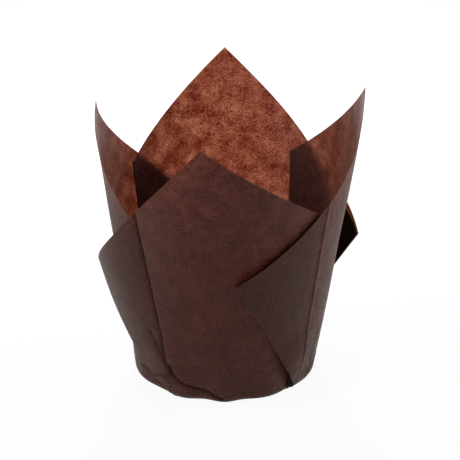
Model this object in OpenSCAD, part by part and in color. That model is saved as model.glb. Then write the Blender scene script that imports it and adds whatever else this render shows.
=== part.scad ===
// Tulip cupcake liner: one square of greaseproof paper, pressed into a round mould.
// Its corners stand up as four petals. Between neighbours the paper is laid in a flat Z pleat:
// each petal's clockwise side is a flap outside the wall, and its other side is tucked inside.
// Lists of four follow the petals anticlockwise from +X: right, back, left, front.
// Lengths are in millimetres and angles in degrees.

/* [Sheet] */
// Side of the square sheet
sheet = 150; // [140:1:160]
// Thickness of the paper
paper_t = 0.16; // [0.12:0.02:0.2]
// How far the sheet lies past the middle of the base, towards each petal
petal_shift = [1.25, 0.5, -3, 0.5]; // [-4:0.25:4]

/* [Base] */
// Diameter at which the walls would meet the base in a sharp edge
base_d = 50; // [48:0.5:54]
// Radius of the edge between the base and the walls
corner_r = 2; // [1.5:0.5:4]
// Radius of that edge at the foot of a pleat
pleat_corner_r = 1.5; // [1.5:0.5:4]
// Where the hand-folded base leaves its circle, as angles from +X
dent_az = [-156, -103, -78, -59, -40]; // [-180:1:180]
// How far each of these stands out, or in where negative
dent_out = [0.9, -1.2, -0.8, 0.5, -0.4]; // [-1.3:0.1:1.3]

/* [Petals] */
// Angle from the vertical at which the sheet is rolled
roll_lean = 9.5; // [8.5:0.25:10.5]
// How much more than that each petal leans out
petal_lean = [-0.5, 0.5, -1.75, 0.75]; // [-2:0.25:2]
// Turn of each petal about the base, from its quarter
petal_turn = [3, 0, 6, 18]; // [0:0.5:18]
// Tilt of each petal in its own plane
petal_tilt = [0, 0, -4.5, -9.5]; // [-9.5:0.5:0]
// Share of its roll that each petal loses by its tip
petal_flat = [0, 0.1, 0.3, -0.1]; // [-0.2:0.05:0.4]

/* [Pleats] */
// Distance between the layers of a pleat
layer_gap = 0.5; // [0.4:0.05:0.7]
// What the foot of a pleat adds to that distance
foot_spread = 0.8; // [0.7:0.1:1.2]
// Corner of each flap, as its distance from the line through the tip and the base
flap_depth = [48, 47.5, 48.5, 51]; // [46:0.5:52]
// Top of each tucked fold, measured the same way
tuck_depth = [31, 30.5, 30, 30]; // [27:0.5:33]
// Top of the crease where each flap leaves the wall, measured the same way
crease_depth = [25.5, 30, 28, 22.5]; // [20:0.5:30.5]
// Angle from the middle of its petal to the foot of the pleat beneath each flap
flap_foot = [-46.5, -43, -36, -54]; // [-58:0.5:-34]
// Share of the wall's roll that each flap keeps
flap_roll = [1, 1, 1, 0.93]; // [0.9:0.01:1]
// How far the corner of each flap stands off the wall
flap_stand = [1.6, 5.5, 5, 5]; // [1.5:0.1:6]
// How far the middle of each flap bellies out, or in where negative
flap_belly = [-0.5, 0, 0, 0]; // [-0.5:0.1:1]

/* [Hidden] */

petals = 4;
base_r = base_d / 2;
// From the centre of the sheet to its corner
reach = sheet / sqrt(2);
// From the point of the rolled cone to the base
cone_l = base_r / sin(roll_lean);

// Slant heights: where the pleats end, over which a petal then flattens, over which a flap
// comes to its own roll, and up to which a pleat's foot is spread
pleat_h = 55;
flatten_h = 25;
roll_h = 25;
spread_h = 20;
// Angles on the base: half of what a pleat's foot takes, from there to the crease beside it,
// and half the widths over which the foot is spread and the edge has its own radius
foot_open = 2.5;
crease_open = 5;
spread_w = 20;
foot_w = 15;
// Half the angle that each dent of the base takes, and the slant height where the dents end
dent_w = [25, 14, 12, 12, 13];
dent_h = 18;
// Angle over which a panel passes from the outer layer to the middle of the wall
layer_turn = 30;
// Share of the height over which a fold closes
close_share = 0.08;
// Places of the layers at a pleat, in layer gaps from its middle
fold_layer = 0.55;
pleat_layer = 0.1;
// Places of the layers at a pleat's foot, in foot spreads from its middle
fold_spread = 0.8;
pleat_spread = 0.6;

// Facets from a flap's corner to its crease, on to the tip, down to the tuck and over a pleat
flap_cols = 6;
side_cols = 8;
tuck_cols = 7;
pleat_cols = 4;
// Facets round the edge of the base and up the wall, and how much closer the lower ones are
edge_rows = 3;
wall_rows = 16;
row_crowd = 1.3;

function mix(a, b, t) = a + (b - a) * t;
function clamp(x) = min(1, max(0, x));
function smooth(x) = let(c = clamp(x)) c * c * (3 - 2 * c);
function sum(v) = v * [for (x = v) 1];
function of(v, k) = v[k % petals];
function angle_between(a, b) = abs((a - b + 540) % 360 - 180);
function bump(a, half) = abs(a) < half ? pow(cos(90 * a / half), 2) : 0;

// Azimuths run on past 360, so petal 4 is petal 0 once more round
function petal_az(k) = 90 * k + of(petal_turn, k);
function foot_az(k) = petal_az(k + 1) + of(flap_foot, k + 1);

// The wall's lean and the radius of its lower edge, which change smoothly round the liner
function lean_at(az) =
    roll_lean + sum([for (k = [0 : petals - 1]) petal_lean[k] * bump(angle_between(az, 90 * k), 90)]);
function edge_r(az) =
    mix(corner_r, pleat_corner_r, max([for (k = [0 : petals - 1]) bump(angle_between(az, foot_az(k)), foot_w)]));
function edge_cut(az) = edge_r(az) * tan((90 - lean_at(az)) / 2);
function dent(s, az) =
    sum([for (i = [0 : len(dent_az) - 1]) dent_out[i] * bump(angle_between(az, dent_az[i]), dent_w[i])])
        * (1 - smooth(s / dent_h));

// The sheet unrolled round the point of the cone: from slant height and angle to a flat point
// and back, and the point of petal k's free edge that lies y from its middle line
function unrolled(s, a) = (cone_l + s) * [cos(a * sin(roll_lean)), sin(a * sin(roll_lean))];
function rolled(p) = [norm(p) - cone_l, atan2(p[1], p[0]) / sin(roll_lean)];
function edge_at(k, y) =
    let(x = reach + of(petal_shift, k) - abs(y), tilt = of(petal_tilt, k))
    [x * cos(tilt) - y * sin(tilt) - base_r + cone_l, x * sin(tilt) + y * cos(tilt)];
tip = [for (k = [0 : petals - 1]) rolled(edge_at(k, 0))];
flap_top = [for (k = [0 : petals - 1]) rolled(edge_at(k, -flap_depth[k]))];

// The straight crease of each petal, as its direction and its distance from the cone's point
crease = [for (k = [0 : petals - 1])
    let(foot = unrolled(0, flap_foot[k] + crease_open), line = edge_at(k, -crease_depth[k]) - foot)
    [atan2(line[1], line[0]), cross(foot, line) / norm(line)]];
function crease_at(k, s) =
    (of(crease, k)[0] - asin(of(crease, k)[1] / (cone_l + s))) / sin(roll_lean);

// A flap beyond its crease is rolled a little less than the wall
function flap_turn(k, s, a) =
    let(hinge = crease_at(k, s))
    a < hinge ? hinge - (hinge - a) * mix(1, of(flap_roll, k), clamp(s / roll_h)) : a;
flap_span = [for (k = [0 : petals - 1])
    let(top = flap_top[k]) crease_at(k, top[0]) - flap_turn(k, top[0], top[1])];

// How far petal k stands outside the round wall at slant s and angle a
function stand_off(k, s, a) =
    let(share = max(0, (crease_at(k, s) - a) / of(flap_span, k)))
    (of(flap_stand, k) * share + of(flap_belly, k) * sin(180 * clamp(share))) * s / of(flap_top, k)[0];
function spread(s, a) = foot_spread * sin(180 * clamp(s / spread_h)) * bump(a, spread_w);
function layers(s, a, gaps, spreads) = gaps * layer_gap + spreads * spread(s, a);

// Share v of the way up a straight line of the sheet, as [slant height, azimuth]. It starts
// at the base, at an angle from the middle of petal k, and ends y from that petal's middle line.
function line_at(k, start, y, v) =
    let(p = rolled(mix(unrolled(edge_cut(petal_az(k) + start), start), edge_at(k, y), v)))
    [p[0], petal_az(k) + flap_turn(k, p[0], p[1])];
// The two folds of the pleat after petal k
function tuck_at(k, v) = line_at(k, foot_az(k) - foot_open - petal_az(k), tuck_depth[k], v);
function flap_at(k, v) = line_at(k + 1, of(flap_foot, k + 1) + foot_open, -of(flap_depth, k + 1), v);

// The sheet is a ring of columns, which run from the base to the free edge. Each is listed as
// [kind, petal, place, azimuth at the base]
PANEL = 0;
TUCK_FOLD = 1;
PLEAT = 2;
FLAP_FOLD = 3;
function stretch(k, y0, y1, az0, az1, count) =
    [for (i = [0 : count - 1]) [PANEL, k, mix(y0, y1, i / count), mix(az0, az1, i / count)]];
function panel_columns(k) =
    let(
        start = foot_az(k - 1) + foot_open,
        hinge = foot_az(k - 1) + crease_open,
        end = foot_az(k) - foot_open,
        under_tip = mix(hinge, end, side_cols / (side_cols + tuck_cols))
    )
    concat(
        stretch(k, -flap_depth[k], -crease_depth[k], start, hinge, flap_cols),
        stretch(k, -crease_depth[k], 0, hinge, under_tip, side_cols),
        stretch(k, 0, tuck_depth[k], under_tip, end, tuck_cols),
        [[PANEL, k, tuck_depth[k], end]]
    );
function pleat_columns(k) =
    let(foot = foot_az(k))
    concat(
        [[TUCK_FOLD, k, 0, foot - foot_open * fold_spread]],
        [for (i = [0 : pleat_cols])
            let(t = i / pleat_cols)
            [PLEAT, k, t, foot + foot_open * pleat_spread * (2 * t - 1)]],
        [[FLAP_FOLD, k, 1, foot + foot_open * fold_spread]]
    );
columns = [for (k = [0 : petals - 1]) each concat(panel_columns(k), pleat_columns(k))];

// A closed fold bulges sideways by half the distance between its layers
function fold_turn(s, v) =
    [0, clamp(v / close_share) * (layer_gap / 2) / (base_r + s * sin(roll_lean)) * 180 / PI];
function column_at(c, v) =
    let(tuck = tuck_at(c[1], v), flap = flap_at(c[1], v))
    c[0] == PANEL ? line_at(c[1], c[3] - petal_az(c[1]), c[2], v)
    : c[0] == TUCK_FOLD ? tuck + fold_turn(tuck[0], v)
    : c[0] == PLEAT ? mix(tuck, flap, c[2])
    : flap - fold_turn(flap[0], v);

// Distance of a column outside the round wall
function column_off(c, s, az) =
    let(
        k = c[1],
        a = az - petal_az(k),
        stand = stand_off(k + 1, s, az - petal_az(k + 1)),
        foot = az - foot_az(k)
    )
    c[0] == PANEL
        ? stand_off(k, s, a) - layer_gap * sin(90 * max(-1, min(1, a / layer_turn)))
            + spread(s, az - foot_az(k - 1)) - spread(s, foot)
    : c[0] == TUCK_FOLD ? stand / 2 - layers(s, foot, fold_layer, fold_spread)
    : c[0] == PLEAT ? stand + layers(s, foot, pleat_layer, pleat_spread) * (2 * c[2] - 1)
    : stand + layers(s, foot, fold_layer, fold_spread);

// Point on the edge of the base, share t of the way from the flat to the wall
function edge_point(c, t) =
    let(
        az = c[3],
        turn = t * (90 - lean_at(az)),
        off = t * column_off(c, 0, az),
        cut = edge_cut(az),
        r = base_r - cut + (edge_r(az) + off) * sin(turn) + dent(t * cut, az)
    )
    [r * cos(az), r * sin(az), edge_r(az) * (1 - cos(turn)) - off * cos(turn)];

// Point on the wall, share v of the way up its column. Above the pleats a petal is flattened
// about the line to its tip.
function wall_point(c, v) =
    let(
        k = c[1],
        place = column_at(c, v),
        s = place[0],
        az = place[1],
        off = column_off(c, s, az),
        lean = lean_at(az),
        r = base_r + s * sin(lean) + off * cos(lean) + dent(s, az),
        axis = petal_az(k) + tip[k][1],
        share = 1 - petal_flat[k] * smooth((s - pleat_h) / flatten_h),
        turn = (az - axis) * share,
        across = r / share * sin(turn),
        out = r - r / share * (1 - cos(turn))
    )
    [out * cos(axis) - across * sin(axis), out * sin(axis) + across * cos(axis),
        s * cos(lean) - off * sin(lean)];

wide = len(columns);
rows = concat(
    [for (i = [0 : edge_rows]) [for (c = columns) edge_point(c, i / edge_rows)]],
    [for (i = [1 : wall_rows]) [for (c = columns) wall_point(c, pow(i / wall_rows, row_crowd))]]
);
high = len(rows);

// The two faces of the paper lie half its thickness from the middle
function across_paper(i, j) =
    let(
        along = rows[j][(i + 1) % wide] - rows[j][(i + wide - 1) % wide],
        up = rows[min(j + 1, high - 1)][i] - rows[max(j - 1, 0)][i],
        n = cross(along, up)
    )
    j == 0 ? [0, 0, -1] : n / norm(n);
normals = [for (j = [0 : high - 1]) [for (i = [0 : wide - 1]) across_paper(i, j)]];
function paper_face(side) =
    [for (j = [0 : high - 1]) for (i = [0 : wide - 1])
        rows[j][i] + (normals[j][i] * side + [0, 0, 1]) * paper_t / 2];

module liner() {
    count = wide * high;
    top = count - wide;
    outside = [for (j = [0 : high - 2]) for (i = [0 : wide - 1])
        let(a = j * wide + i, b = j * wide + (i + 1) % wide)
        each [[a, a + wide, b], [b, a + wide, b + wide]]];
    inside = [for (f = outside) [f[0] + count, f[2] + count, f[1] + count]];
    rim = [for (i = [0 : wide - 1])
        let(a = top + i, b = top + (i + 1) % wide)
        each [[a, a + count, b], [b, a + count, b + count]]];
    underside = [for (i = [0 : wide - 1]) i];
    floor_face = [for (i = [wide - 1 : -1 : 0]) count + i];
    color([0.33, 0.18, 0.15])
        polyhedron(
            concat(paper_face(1), paper_face(-1)),
            concat(outside, inside, rim, [underside, floor_face]),
            convexity = 10
        );
}

liner();
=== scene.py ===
import math

import bmesh
import bpy
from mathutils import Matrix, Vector, noise


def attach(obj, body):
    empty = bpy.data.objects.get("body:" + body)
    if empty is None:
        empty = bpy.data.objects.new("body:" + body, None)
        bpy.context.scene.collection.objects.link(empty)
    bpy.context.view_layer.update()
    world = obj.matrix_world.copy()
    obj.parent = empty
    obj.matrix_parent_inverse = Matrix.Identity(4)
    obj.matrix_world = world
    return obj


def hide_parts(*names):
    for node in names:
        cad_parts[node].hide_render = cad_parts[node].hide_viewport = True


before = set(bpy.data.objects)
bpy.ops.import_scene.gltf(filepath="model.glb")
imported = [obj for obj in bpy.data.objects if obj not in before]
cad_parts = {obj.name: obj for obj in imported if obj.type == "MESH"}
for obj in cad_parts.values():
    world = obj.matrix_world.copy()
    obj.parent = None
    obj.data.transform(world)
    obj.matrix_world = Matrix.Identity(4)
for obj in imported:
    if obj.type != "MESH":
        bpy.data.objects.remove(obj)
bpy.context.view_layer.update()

mm = 0.001
white = (1.0, 1.0, 1.0, 1.0)

# The sheet and its folds, in millimetres and degrees. Lists follow the petals: right, back, left, front.
linerPaper = {
    "side": 150.0,
    "thickness": 0.12,
    "shift": (1.25, 0.5, -3.0, 0.5),              # how far the sheet lies past the middle, to each petal
    "baseRadius": 25.0,
    "edgeRadius": 2.0,                            # of the rounding between the base and the wall
    "footRadius": 1.5,                            # of the same at a pleat's foot
    "footWidth": 15.0,                            # how far to each side of the foot that reaches
    # Azimuth, distance out and half width of each place where the base leaves its circle
    "dents": (
        (-156.0, 0.9, 25.0),
        (-103.0, -1.2, 14.0),
        (-78.0, -0.8, 12.0),
        (-59.0, 0.5, 12.0),
        (-40.0, -0.4, 13.0),
    ),
    "dentHeight": 18.0,
    "rollLean": 9.5,                              # how far the wall leans out
    "lean": (-0.5, 0.5, -1.75, 0.75),             # what each petal adds to that
    "turn": (3.0, 0.0, 6.0, 18.0),                # of each petal round the base
    "tilt": (0.0, 0.0, -4.5, -9.5),               # of each petal to one side
    "flat": (0.0, 0.1, 0.3, -0.1),                # how much flatter than the wall each petal is, as a share
    "flatFrom": 55.0,                             # the height at which that starts
    "flatHeight": 25.0,                           # and over which it grows
    "tuckDepth": (31.0, 30.5, 30.0, 30.0),        # the inner fold, from the petal's middle line
    "flapDepth": (48.0, 47.5, 48.5, 51.0),        # the flap's corner, from the same line
    "creaseDepth": (25.5, 30.0, 28.0, 22.5),      # the top of the flap's crease, from the same line
    "creaseOpen": 5.0,                            # the crease's foot, from the pleat's
    "flapFoot": (-46.5, -43.0, -36.0, -54.0),     # the pleat's foot, from the petal's azimuth
    "footOpen": 2.5,                              # half the pleat's width there
    "flapRoll": (1.0, 1.0, 1.0, 0.93),            # how wide each flap looks round the wall, as a share
    "rollHeight": 25.0,
    "flapStand": (1.6, 5.5, 5.0, 5.0),            # how far each flap's corner stands off the wall
    "flapBelly": (-0.5, 0.0, 0.0, 0.0),
    "tipCurl": (0.0, 0.0, 1.0, 0.0),              # how far each tip curls in
    "curlLength": 9.0,
    "creaseRidge": (0.35, -0.35, -0.35, -0.4),    # how far each crease stands out
    "ridgeWidth": 0.7,
    "ridgeHeight": 15.0,
    "layerGap": 0.5,                              # between the layers of a pleat
    "layerTurn": 30.0,                            # how far to each side of its middle a petal changes layers
    "closeShare": 0.08,                           # of the height, over which a fold opens from its foot
    "pleatLayer": 0.1,                            # how far the middle layer leans to the others, in gaps
    "pleatSpread": 0.6,                           # and its share of the foot's width and of the spread
    "footSpread": 0.8,                            # how much further apart the layers are low down
    "spreadHeight": 20.0,
    "spreadWidth": 20.0,
    "mapTurn": 3.0,                               # of the flat sheet's pattern
    "smoothAngle": 50.0,                          # faces that meet at less are shaded smooth
}
# How finely the sheet is divided
grid = {
    "flap": 16,
    "ridge": 2,
    "side": 24,
    "tuck": 20,
    "fold": 3,
    "pleat": 10,
    "base": 14,
    "first": 0.25,    # the innermost ring's place, in rings
    "edge": 8,
    "wall": 66,
    "crowd": 1.3,     # above 1, the rows of the wall crowd towards the base
}


def mix(a, b, t):
    return a + (b - a) * t


def clamp(x, low=0.0, high=1.0):
    return min(high, max(low, x))


def smooth(x):
    x = clamp(x)
    return x * x * (3 - 2 * x)


def sin(degrees):
    return math.sin(math.radians(degrees))


def cos(degrees):
    return math.cos(math.radians(degrees))


def azimuthOf(point):
    return math.degrees(math.atan2(point.y, point.x))


def wrapped(angle):
    return (angle + 540) % 360 - 180


def bump(angle, half):
    return cos(90 * angle / half) ** 2 if abs(angle) < half else 0.0


def bumpRound(azimuth, place, half):
    return bump(abs(wrapped(azimuth - place)), half)


# The folded sheet is a ring of columns that run from the base to the free edge
class FoldedSheet:
    def __init__(self, s):
        self.s = s
        self.reach = s["side"] / math.sqrt(2)
        self.coneLength = s["baseRadius"] / sin(s["rollLean"])
        self.tip = [self.rolled(self.edgeAt(k, 0)) for k in range(4)]
        self.flapTop = [self.rolled(self.edgeAt(k, -s["flapDepth"][k])) for k in range(4)]
        self.crease = []
        for k in range(4):
            foot = self.unrolled(0, s["flapFoot"][k] + s["creaseOpen"])
            line = self.edgeAt(k, -s["creaseDepth"][k]) - foot
            away = (foot.x * line.y - foot.y * line.x) / line.length
            self.crease.append((azimuthOf(line), away))
        self.flapSpan = []
        for k, (slant, angle) in enumerate(self.flapTop):
            self.flapSpan.append(self.creaseAt(k, slant) - self.flapTurn(k, slant, angle))

    def petalAzimuth(self, k):
        return 90 * k + self.s["turn"][k % 4]

    def footAzimuth(self, k):
        return self.petalAzimuth(k + 1) + self.s["flapFoot"][(k + 1) % 4]

    def leanAt(self, azimuth):
        s = self.s
        return s["rollLean"] + sum(s["lean"][k] * bumpRound(azimuth, 90 * k, 90) for k in range(4))

    def edgeRadius(self, azimuth):
        s = self.s
        foot = max(bumpRound(azimuth, self.footAzimuth(k), s["footWidth"]) for k in range(4))
        return mix(s["edgeRadius"], s["footRadius"], foot)

    # How much of the base the rounded edge takes up
    def edgeCut(self, azimuth):
        return self.edgeRadius(azimuth) * math.tan(math.radians((90 - self.leanAt(azimuth)) / 2))

    def dent(self, slant, azimuth):
        s = self.s
        out = sum(far * bumpRound(azimuth, place, half) for place, far, half in s["dents"])
        return out * (1 - smooth(slant / s["dentHeight"]))

    def coneRadius(self, slant):
        return self.s["baseRadius"] + slant * sin(self.s["rollLean"])

    # The sheet laid flat round the point of its cone, and back
    def unrolled(self, slant, angle):
        turn = angle * sin(self.s["rollLean"])
        return Vector((cos(turn), sin(turn))) * (self.coneLength + slant)

    def rolled(self, flat):
        return flat.length - self.coneLength, azimuthOf(flat) / sin(self.s["rollLean"])

    # Petal k's free edge on that flat sheet, y from the petal's middle line
    def edgeAt(self, k, y):
        s = self.s
        k %= 4
        x = self.reach + s["shift"][k] - abs(y)
        tilt = s["tilt"][k]
        along = x * cos(tilt) - y * sin(tilt) - s["baseRadius"] + self.coneLength
        return Vector((along, x * sin(tilt) + y * cos(tilt)))

    def creaseAt(self, k, slant):
        turn, away = self.crease[k % 4]
        angle = turn - math.degrees(math.asin(away / (self.coneLength + slant)))
        return angle / sin(self.s["rollLean"])

    def flapTurn(self, k, slant, angle):
        s = self.s
        hinge = self.creaseAt(k, slant)
        if angle >= hinge:
            return angle
        roll = mix(1, s["flapRoll"][k % 4], clamp(slant / s["rollHeight"]))
        return hinge - (hinge - angle) * roll

    def standOff(self, k, slant, angle):
        s = self.s
        k %= 4
        share = max(0.0, (self.creaseAt(k, slant) - angle) / self.flapSpan[k])
        stand = s["flapStand"][k] * share + s["flapBelly"][k] * sin(180 * clamp(share))
        return stand * slant / self.flapTop[k][0]

    def ridge(self, k, slant, angle):
        s = self.s
        across = math.radians(angle - self.creaseAt(k, slant)) * self.coneRadius(slant)
        high = smooth(slant / s["ridgeHeight"])
        return s["creaseRidge"][k] * max(0.0, 1 - abs(across) / s["ridgeWidth"]) * high

    def spread(self, slant, angle):
        s = self.s
        low = sin(180 * clamp(slant / s["spreadHeight"]))
        return s["footSpread"] * low * bump(angle, s["spreadWidth"])

    # Slant height and azimuth at share v of a straight line up the sheet
    def lineAt(self, k, start, y, v):
        foot = self.unrolled(self.edgeCut(self.petalAzimuth(k) + start), start)
        slant, angle = self.rolled(foot.lerp(self.edgeAt(k, y), v))
        return slant, self.petalAzimuth(k) + self.flapTurn(k, slant, angle)

    def tuckAt(self, k, v):
        start = self.footAzimuth(k) - self.s["footOpen"] - self.petalAzimuth(k)
        return self.lineAt(k, start, self.s["tuckDepth"][k % 4], v)

    def flapAt(self, k, v):
        n = (k + 1) % 4
        start = self.s["flapFoot"][n] + self.s["footOpen"]
        return self.lineAt(k + 1, start, -self.s["flapDepth"][n], v)

    # Each column is (kind, petal, place, azimuth at the base)
    def columns(self):
        s = self.s
        out = []
        for k in range(4):
            start = self.footAzimuth(k - 1) + s["footOpen"]
            hinge = self.footAzimuth(k - 1) + s["creaseOpen"]
            end = self.footAzimuth(k) - s["footOpen"]
            underTip = mix(hinge, end, grid["side"] / (grid["side"] + grid["tuck"]))
            near = math.degrees(s["ridgeWidth"] / s["baseRadius"])
            crease = -s["creaseDepth"][k]
            stretches = (
                (-s["flapDepth"][k], crease - s["ridgeWidth"], start, hinge - near, grid["flap"]),
                (crease - s["ridgeWidth"], crease, hinge - near, hinge, grid["ridge"]),
                (crease, crease + s["ridgeWidth"], hinge, hinge + near, grid["ridge"]),
                (crease + s["ridgeWidth"], 0.0, hinge + near, underTip, grid["side"]),
                (0.0, s["tuckDepth"][k], underTip, end, grid["tuck"]),
            )
            for y0, y1, a0, a1, count in stretches:
                for i in range(count):
                    t = i / count
                    out.append(("panel", k, mix(y0, y1, t), mix(a0, a1, t)))
            out.append(("panel", k, s["tuckDepth"][k], end))
            foot = self.footAzimuth(k)
            for i in range(grid["fold"]):
                t = (i + 1) / (grid["fold"] + 1)
                out.append(("tuck", k, t, foot - s["footOpen"] * mix(1.0, s["pleatSpread"], t)))
            for i in range(grid["pleat"] + 1):
                t = i / grid["pleat"]
                out.append(("pleat", k, t, foot + s["footOpen"] * s["pleatSpread"] * (2 * t - 1)))
            for i in range(grid["fold"]):
                t = (i + 1) / (grid["fold"] + 1)
                out.append(("flap", k, t, foot + s["footOpen"] * mix(s["pleatSpread"], 1.0, t)))
        return out

    # How far a fold bulges past its line, in degrees
    def foldTurn(self, slant, v, place):
        s = self.s
        reach = clamp(v / s["closeShare"]) * s["layerGap"] / 2
        return math.degrees(reach / self.coneRadius(slant)) * sin(180 * place)

    def columnAt(self, column, v):
        kind, k, place, base = column
        if kind == "panel":
            return self.lineAt(k, base - self.petalAzimuth(k), place, v)
        tuck = self.tuckAt(k, v)
        flap = self.flapAt(k, v)
        if kind == "pleat":
            return mix(tuck[0], flap[0], place), mix(tuck[1], flap[1], place)
        if kind == "tuck":
            return tuck[0], tuck[1] + self.foldTurn(tuck[0], v, place)
        return flap[0], flap[1] - self.foldTurn(flap[0], v, place)

    # How far a column stands outside the round wall
    def offAt(self, column, slant, azimuth):
        kind, k, place = column[:3]
        s = self.s
        gap = s["layerGap"]
        foot = self.spread(slant, azimuth - self.footAzimuth(k))
        pleat = gap * s["pleatLayer"] + foot * s["pleatSpread"]
        if kind == "panel":
            a = azimuth - self.petalAzimuth(k)
            before = self.spread(slant, azimuth - self.footAzimuth(k - 1))
            stand = self.standOff(k, slant, a) + self.ridge(k, slant, a)
            return stand - gap * sin(90 * clamp(a / s["layerTurn"], -1)) + before - foot
        stand = self.standOff(k + 1, slant, azimuth - self.petalAzimuth(k + 1))
        if kind == "tuck":
            return mix(-gap - foot, stand - pleat, (1 - cos(180 * place)) / 2)
        if kind == "pleat":
            return stand + pleat * (2 * place - 1)
        return stand + mix(pleat, gap + foot, (1 - cos(180 * place)) / 2)

    # A place on the rounded edge, t from the base at 0 to the wall at 1
    def edgePoint(self, column, t):
        azimuth = column[3]
        turn = t * (90 - self.leanAt(azimuth))
        radius = self.edgeRadius(azimuth)
        off = t * self.offAt(column, 0.0, azimuth)
        cut = self.edgeCut(azimuth)
        r = self.s["baseRadius"] - cut + (radius + off) * sin(turn) + self.dent(t * cut, azimuth)
        height = max(0.0, radius * (1 - cos(turn)) - off * cos(turn))
        return Vector((r * cos(azimuth), r * sin(azimuth), height))

    def wallPoint(self, column, v):
        s = self.s
        k = column[1]
        slant, azimuth = self.columnAt(column, v)
        off = self.offAt(column, slant, azimuth)
        lean = self.leanAt(azimuth)
        r = s["baseRadius"] + slant * sin(lean) + off * cos(lean) + self.dent(slant, azimuth)
        axis = self.petalAzimuth(k) + self.tip[k][1]
        share = 1 - s["flat"][k] * smooth((slant - s["flatFrom"]) / s["flatHeight"])
        turn = (azimuth - axis) * share
        across = r / share * sin(turn)
        curl = s["tipCurl"][k] * clamp((slant - self.tip[k][0]) / s["curlLength"] + 1) ** 2
        out = r - r / share * (1 - cos(turn)) - curl
        x = out * cos(axis) - across * sin(axis)
        y = out * sin(axis) + across * cos(axis)
        return Vector((x, y, slant * cos(lean) - off * sin(lean)))

    # A place on the flat sheet, in shares of its side
    def flatPoint(self, column, row):
        kind, k, place, base = column
        s = self.s
        if kind == "panel":
            edge = self.flatEdge(k, place)
        else:
            tuck = self.flatEdge(k, s["tuckDepth"][k])
            flap = self.flatEdge(k + 1, -s["flapDepth"][(k + 1) % 4])
            edge = tuck.lerp(flap, {"tuck": 0.0, "pleat": place, "flap": 1.0}[kind])
        rim = Vector((cos(base), sin(base))) * s["baseRadius"]
        baseRows = grid["base"] + grid["edge"]
        if row <= baseRows:
            flat = rim * row / baseRows
        else:
            flat = rim.lerp(edge, ((row - baseRows) / grid["wall"]) ** grid["crowd"])
        return flat / s["side"] + Vector((0.5, 0.5))

    def flatEdge(self, k, y):
        x = self.reach - abs(y)
        a = 90 * k + self.s["mapTurn"]
        return Vector((x * cos(a) - y * sin(a), x * sin(a) + y * cos(a)))


# The middle of the paper, row by row, from near the base's centre to the free edge
def sheetRows(sheet, columns):
    rows = []
    for j in range(grid["base"]):
        share = (j + grid["first"]) / grid["base"]
        row = []
        for column in columns:
            azimuth = column[3]
            r = (linerPaper["baseRadius"] - sheet.edgeCut(azimuth) + sheet.dent(0.0, azimuth)) * share
            row.append(Vector((r * cos(azimuth), r * sin(azimuth), 0.0)))
        rows.append(row)
    for i in range(grid["edge"] + 1):
        rows.append([sheet.edgePoint(column, i / grid["edge"]) for column in columns])
    for i in range(1, grid["wall"] + 1):
        v = (i / grid["wall"]) ** grid["crowd"]
        rows.append([sheet.wallPoint(column, v) for column in columns])
    return rows


# How the paper is crumpled, in millimetres
crumples = {
    "wave": 0.3,                     # gentle waves on the walls
    "waveSize": 24.0,
    "waveRise": 12.0,                # the height over which they set in
    "waveFrom": (3.1, 7.7, 1.3),     # where their noise is read
    "dint": 0.4,                     # sharper dints near the base
    "dintSize": 7.0,
    "dintTop": 16.0,
    "dintFade": 1.5,
    "dintRise": 1.5,
    "dintFrom": (9.2, 1.4, 4.8),
    "foldTop": 24.0,                 # pressed folds lie below this
    "foldRise": 1.0,
    "foldRadius": 20.0,              # and further out than this
}
# Folds pressed into the foot of the wall: distance out and half width,
# then the azimuth and the height of each point of the fold
pressedFolds = (
    (-0.7, 0.7, ((-122.0, 11.0), (-121.0, 8.0), (-116.0, 5.8), (-109.0, 4.3), (-100.0, 3.3), (-92.0, 1.5))),
    (-0.3, 0.9, ((-152.0, 5.0), (-134.0, 6.0), (-121.0, 8.0))),
    (-0.35, 0.7, ((-134.0, 21.0), (-128.0, 15.5), (-121.5, 8.5))),
    (0.35, 0.6, ((-84.0, 2.5), (-61.0, 12.5))),
    (0.3, 0.8, ((-27.0, 3.0), (-24.0, 16.0))),
    (-0.4, 0.8, ((-30.0, 3.5), (-10.0, 6.0), (14.0, 3.0))),
    (-0.4, 0.8, ((60.0, 9.0), (66.0, 5.0), (88.0, 2.5))),
    (0.2, 0.6, ((98.0, 2.5), (120.0, 11.0))),
    (-0.4, 0.8, ((160.0, 9.0), (166.0, 5.0), (182.0, 2.5))),
)
# Painted shade: how dark each part of a pleat is, and each millimetre that a pressed fold or a crease is
# deep
paintedFoldShade = {"panel": 0.0, "tuck": 0.6, "pleat": 1.0, "pressed": 2.0, "crease": 2.2}


def awayFromLine(across, up, line):
    nearest = math.inf
    for (ax, ay), (bx, by) in zip(line, line[1:]):
        dx, dy = bx - ax, by - ay
        t = clamp(((across - ax) * dx + (up - ay) * dy) / (dx * dx + dy * dy))
        nearest = min(nearest, math.hypot(across - ax - dx * t, up - ay - dy * t))
    return nearest


def pressed(azimuth, height):
    perDegree = math.radians(linerPaper["baseRadius"])
    out = 0.0
    for far, half, places in pressedFolds:
        start = places[0][0]
        line = [((a - start) * perDegree, z) for a, z in places]
        away = awayFromLine(wrapped(azimuth - start) * perDegree, height, line)
        out += far * max(0.0, 1 - away / half)
    return out


def isFoot(point):
    return point.z < crumples["foldTop"] and point.xy.length > crumples["foldRadius"]


# How much painted shade a point gets because it lies in a fold: inside a pleat, along a pressed fold or a
# crease
def foldShade(sheet, column, point):
    kind, k, place = column[:3]
    azimuth = azimuthOf(point)
    dark = 1.0 - place if kind == "flap" else paintedFoldShade[kind]
    if isFoot(point):
        dark = max(dark, -paintedFoldShade["pressed"] * pressed(azimuth, point.z))
    if kind == "panel":
        slant = point.z / cos(sheet.leanAt(azimuth))
        turn = wrapped(azimuth - sheet.petalAzimuth(k))
        dark = max(dark, -paintedFoldShade["crease"] * sheet.ridge(k, slant, turn))
    return clamp(dark)


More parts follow.
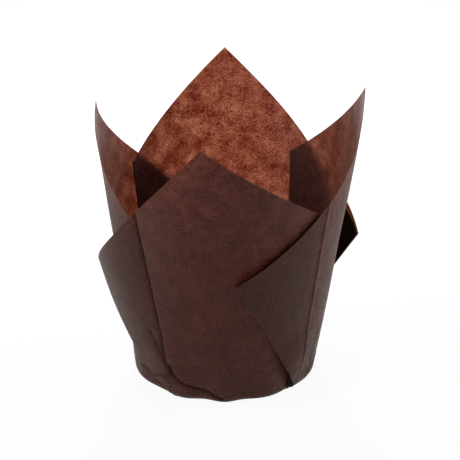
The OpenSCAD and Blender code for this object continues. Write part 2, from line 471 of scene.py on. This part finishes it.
# Moves a point of the sheet, all layers alike: gently on the walls, in sharp folds near the base
def crumpled(point):
    c = crumples
    wave = noise.noise(point / c["waveSize"] + Vector(c["waveFrom"])) * c["wave"]
    far = wave * smooth(point.z / c["waveRise"])
    if isFoot(point):
        dint = abs(noise.noise(point / c["dintSize"] + Vector(c["dintFrom"]))) * c["dint"]
        low = (1 - clamp(point.z / c["dintTop"])) ** c["dintFade"] * smooth(point.z / c["dintRise"])
        far -= dint * low
        far += pressed(azimuthOf(point), point.z) * smooth(point.z / c["foldRise"])
    out = Vector((point.x, point.y, 0.0)) / math.hypot(point.x, point.y)
    return point + out * far


# A plain grid whose points are moved into place, column by column and row by row
def makeLiner():
    sheet = FoldedSheet(linerPaper)
    columns = sheet.columns()
    rows = sheetRows(sheet, columns)
    wide, high = len(columns), len(rows)
    bpy.ops.mesh.primitive_grid_add(x_subdivisions=wide, y_subdivisions=high - 1, size=2)
    liner = bpy.context.object
    liner.name = "linerPaper"
    mesh = liner.data
    lift = Vector((0, 0, linerPaper["thickness"] / 2))
    flat = []
    shade = []
    for vertex in mesh.vertices:
        i = round((vertex.co.x + 1) / 2 * wide) % wide
        j = round((vertex.co.y + 1) / 2 * (high - 1))
        point = rows[j][i]
        flat.append(sheet.flatPoint(columns[i], j))
        shade.append(foldShade(sheet, columns[i], point))
        vertex.co = (crumpled(point) + lift) * mm
    # The painted shade of the folds, kept on each point in the attribute fold
    mesh.attributes.new("fold", "FLOAT", "POINT").data.foreach_set("value", shade)
    uv = mesh.uv_layers.active or mesh.uv_layers.new(name="flatSheet")
    for loop in mesh.loops:
        uv.data[loop.index].uv = flat[loop.vertex_index]
    print("liner: sheet of", wide, "by", high)
    return liner


# How the sheet is closed, in millimetres
closing = {"merge": 0.001, "hole": 2.0, "centre": 0.2}


# Joins the sheet's first and last columns and fills the small hole at the centre of the base
def closeBase(liner):
    edit = bmesh.new()
    edit.from_mesh(liner.data)
    bmesh.ops.remove_doubles(edit, verts=edit.verts, dist=closing["merge"] * mm)
    hole = closing["hole"] * mm
    inner = [e for e in edit.edges if e.is_boundary and max(v.co.xy.length for v in e.verts) < hole]
    filled = bmesh.ops.contextual_create(edit, geom=inner)["faces"]
    bmesh.ops.poke(edit, faces=filled)
    edit.normal_update()
    middle = min(edit.faces, key=lambda face: face.calc_center_median().xy.length)
    if middle.normal.z > 0:
        bmesh.ops.reverse_faces(edit, faces=edit.faces)
    edit.to_mesh(liner.data)
    edit.free()
    uv = liner.data.uv_layers.active.data
    for loop in liner.data.loops:
        if liner.data.vertices[loop.vertex_index].co.xy.length < closing["centre"] * mm:
            uv[loop.index].uv = Vector((0.5, 0.5))


def thicken(liner):
    solid = liner.modifiers.new("paper", "SOLIDIFY")
    solid.thickness = linerPaper["thickness"] * mm
    solid.offset = 0
    solid.use_even_offset = False
    bpy.ops.object.modifier_apply(modifier=solid.name)
    bpy.ops.object.shade_smooth_by_angle(angle=math.radians(linerPaper["smoothAngle"]))
    print("liner:", len(liner.data.polygons), "faces")


# A socket of a material, which adds, subtracts and multiplies like a number
class Shade:
    def __init__(self, tree, socket=None):
        self.tree = tree
        self.socket = socket

    def node(self, kind, settings=None, values=None, out=0):
        made = self.tree.nodes.new(kind)
        for name, value in (settings or {}).items():
            setattr(made, name, value)
        for name, value in (values or {}).items():
            if isinstance(value, Shade):
                self.tree.links.new(value.socket, made.inputs[name])
            else:
                made.inputs[name].default_value = value
        return Shade(self.tree, made.outputs[out] if made.outputs else None)

    def maths(self, operation, a, b):
        return self.node("ShaderNodeMath", {"operation": operation}, {0: a, 1: b})

    def __add__(self, other):
        return self.maths("ADD", self, other)

    def __radd__(self, other):
        return self.maths("ADD", other, self)

    def __sub__(self, other):
        return self.maths("SUBTRACT", self, other)

    def __rsub__(self, other):
        return self.maths("SUBTRACT", other, self)

    def __mul__(self, other):
        return self.maths("MULTIPLY", self, other)

    def __rmul__(self, other):
        return self.maths("MULTIPLY", other, self)

    # Stretches low to high over bottom to top
    def ramp(self, low, high, bottom=0.0, top=1.0):
        values = {"Value": self, "From Min": low, "From Max": high, "To Min": bottom, "To Max": top}
        return self.node("ShaderNodeMapRange", {"clamp": True}, values)

    # A Mix node's colours are its inputs 6 and 7 and its output 2
    def blend(self, factor, a, b):
        return self.node("ShaderNodeMix", {"data_type": "RGBA"}, {0: factor, 6: a, 7: b}, out=2)

    def join(self, factor, a, b):
        return self.node("ShaderNodeMixShader", {}, {0: factor, 1: a, 2: b})


def newMaterial(name):
    material = bpy.data.materials.new(name)
    material.use_nodes = True
    material.node_tree.nodes.clear()
    return material, Shade(material.node_tree)


# The paper's noises, on the flat sheet apart from the streaks, which stand upright on the wall
paperNoise = {
    "cloud": {"Scale": 30.0, "Detail": 8.0, "Roughness": 0.75},
    "grain": {"Scale": 230.0, "Detail": 5.0, "Roughness": 0.8},
    "fibre": {"Scale": 380.0, "Detail": 4.0, "Roughness": 0.8},
    "grit": {"Scale": 350.0, "Detail": 2.0, "Roughness": 0.8},
    "streak": {"Scale": 1.0, "Detail": 3.0, "Roughness": 0.6},
}
# The paper's colours, as light it sends back and light it lets through, the painted shade of its folds, and
# what its patterns are mixed from
paperLook = {
    "dark": (0.034, 0.0057, 0.0034, 1.0),
    "pale": (0.078, 0.0131, 0.0078, 1.0),
    "fleck": (0.150, 0.0560, 0.0400, 1.0),
    # Painted shade: the dark plain paper that folds and creases are mixed towards, and how far
    "fold": (0.012, 0.0045, 0.0035, 1.0),
    "throughDark": (0.33, 0.070, 0.025, 1.0),
    "throughPale": (0.96, 0.61, 0.46, 1.0),
    "through": 0.42,
    "paintedShadeDepth": 0.75,
    "roughness": 0.5,
    "specular": 0.3,
    "sheen": 0.55,
    "sheenRoughness": 0.3,
    "sheenTint": (1.0, 0.97, 0.88, 1.0),
    "streakScale": (700.0, 700.0, 60.0),
    "paleShares": {"cloud": 0.24, "grain": 0.24, "grit": 0.42, "streak": 0.10},
    "paleRange": (0.43, 0.57),
    "fleckShares": {"fibre": 0.35, "grain": 0.15, "grit": 0.50},
    "fleckRange": (0.50, 0.66),
    "clearShares": {"cloud": 0.42, "grain": 0.23, "grit": 0.35},
    "clearRange": (0.43, 0.62),
    "reliefShares": {"fibre": 1.0, "streak": 1.6, "grit": 1.2},
    "reliefStrength": 0.5,
    "reliefDepth": 0.2,              # in millimetres
}


def paperMaterial():
    look = paperLook
    material, shade = newMaterial("brownPaper")
    flat = shade.node("ShaderNodeTexCoord", out="UV")
    standing = shade.node("ShaderNodeTexCoord", out="Object")
    tall = shade.node("ShaderNodeMapping", {}, {"Vector": standing, "Scale": look["streakScale"]})
    noises = {}
    for name, values in paperNoise.items():
        place = tall if name == "streak" else flat
        noises[name] = shade.node("ShaderNodeTexNoise", {}, {"Vector": place, **values})

    def mixed(shares):
        return sum(noises[name] * share for name, share in shares.items())

    pale = mixed(look["paleShares"]).ramp(*look["paleRange"])
    fleck = mixed(look["fleckShares"]).ramp(*look["fleckRange"])
    clear = mixed(look["clearShares"]).ramp(*look["clearRange"])
    colour = shade.blend(fleck, shade.blend(pale, look["dark"], look["pale"]), look["fleck"])
    relief = shade.node("ShaderNodeBump", {}, {
        "Strength": look["reliefStrength"],
        "Distance": look["reliefDepth"] * mm,
        "Height": mixed(look["reliefShares"]),
    })
    body = shade.node("ShaderNodeBsdfPrincipled", {}, {
        "Base Color": colour,
        "Roughness": look["roughness"],
        "Specular IOR Level": look["specular"],
        "Sheen Weight": look["sheen"],
        "Sheen Roughness": look["sheenRoughness"],
        "Sheen Tint": look["sheenTint"],
        "Normal": relief,
    })

    def soaked(colour):
        return shade.node("ShaderNodeBsdfTranslucent", {}, {"Color": colour, "Normal": relief})

    lit = shade.join(clear, soaked(look["throughDark"]), soaked(look["throughPale"]))
    paper = shade.join(look["through"], body, lit)
    # Painted shade: where a point lies in a fold, the paper is mixed towards a dark plain paper that stands
    # in for the shade there
    fold = shade.node("ShaderNodeAttribute", {"attribute_name": "fold"}, out="Fac")
    paintedShadeBsdf = shade.node("ShaderNodeBsdfDiffuse", {}, {"Color": look["fold"]})
    whole = shade.join(fold * look["paintedShadeDepth"], paper, paintedShadeBsdf)
    shade.node("ShaderNodeOutputMaterial", {}, {"Surface": whole})
    return material


# The pale room, the floor and the small lamp close behind, in metres
light = {
    "room": 0.15,
    "floorSize": 6.0,
    "floorColour": (0.9, 0.9, 0.9, 1.0),
    "floorWhite": 0.92,              # the share of plain white in what the eye sees of it
    "nearPlace": (-0.008, 0.19, 0.055),
    "nearRadius": 0.02,
    "nearPower": 2.05,
}
# The soft lamps far away: name, azimuth, height in degrees, strength and spread in degrees
farLamps = (
    ("keyLight", -156, 30, 1.45, 50),
    ("rightLight", 14, 8, 1.3, 20),
    ("leftLight", 178, 15, 0.4, 40),
    ("topLight", -75, 60, 0.5, 50),
    ("highBackLight", 91, 40, 0.8, 60),
)


# The room looks white to the eye, in gloss and through glass, but not to light that soaks through paper
def whiteSeen(shade):
    seen = shade.node("ShaderNodeLightPath", out="Is Camera Ray")
    glossy = shade.node("ShaderNodeLightPath", out="Is Glossy Ray")
    through = shade.node("ShaderNodeLightPath", out="Is Transmission Ray")
    soaked = shade.node("ShaderNodeLightPath", out="Is Diffuse Ray")
    return (seen + glossy + through * (1.0 - soaked)).ramp(0.0, 1.0)


def makeWorld():
    world = bpy.data.worlds.new("room")
    world.use_nodes = True
    world.node_tree.nodes.clear()
    shade = Shade(world.node_tree)
    strength = whiteSeen(shade).ramp(0.0, 1.0, light["room"], 1.0)
    sky = shade.node("ShaderNodeBackground", {}, {"Color": white, "Strength": strength})
    shade.node("ShaderNodeOutputWorld", {}, {"Surface": sky})
    bpy.context.scene.world = world


def makeFarLamp(name, azimuth, height, strength, spread):
    lamp = bpy.data.lights.new(name, "SUN")
    lamp.energy = strength
    lamp.angle = math.radians(spread)
    holder = bpy.data.objects.new(name, lamp)
    bpy.context.scene.collection.objects.link(holder)
    towards = Vector((cos(azimuth) * cos(height), sin(azimuth) * cos(height), sin(height)))
    holder.rotation_mode = "QUATERNION"
    holder.rotation_quaternion = towards.to_track_quat("Z", "Y")


# A small lamp close behind, which shines through the back petal
def makeNearLamp():
    lamp = bpy.data.lights.new("backLight", "POINT")
    lamp.energy = light["nearPower"]
    lamp.shadow_soft_size = light["nearRadius"]
    holder = bpy.data.objects.new("backLight", lamp)
    holder.location = light["nearPlace"]
    holder.visible_camera = False
    holder.visible_glossy = False
    bpy.context.scene.collection.objects.link(holder)


def makeFloor():
    bpy.ops.mesh.primitive_plane_add(size=light["floorSize"], location=(0, 0, 0))
    ground = bpy.context.object
    ground.name = "floor"
    material, shade = newMaterial("paleFloor")
    body = shade.node("ShaderNodeBsdfDiffuse", {}, {"Color": light["floorColour"]})
    glow = shade.node("ShaderNodeEmission", {}, {"Color": white, "Strength": 1.0})
    surface = shade.join(whiteSeen(shade) * light["floorWhite"], body, glow)
    shade.node("ShaderNodeOutputMaterial", {}, {"Surface": surface})
    ground.data.materials.append(material)


# Where the photograph was taken from: metres, degrees below level, and millimetres of lens and sensor
camera = {"place": (0.0015, -0.4568, 0.2439), "down": 24.0, "lens": 142.1, "sensor": 36.0}


def makeCamera():
    data = bpy.data.cameras.new("camera")
    data.lens = camera["lens"]
    data.sensor_width = camera["sensor"]
    holder = bpy.data.objects.new("camera", data)
    bpy.context.scene.collection.objects.link(holder)
    holder.location = camera["place"]
    holder.rotation_euler = (math.radians(90 - camera["down"]), 0, 0)
    bpy.context.scene.camera = holder


bpy.ops.object.select_all(action="DESELECT")
makeCamera()
makeWorld()
for lampValues in farLamps:
    makeFarLamp(*lampValues)
makeNearLamp()
makeFloor()
print("stage ready")

bpy.ops.object.select_all(action="DESELECT")
liner = makeLiner()
closeBase(liner)
thicken(liner)
liner.data.materials.clear()
liner.data.materials.append(paperMaterial())
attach(liner, "root")
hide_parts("liner")
print("liner ready")

bpy.context.scene.view_settings.view_transform = "Standard"
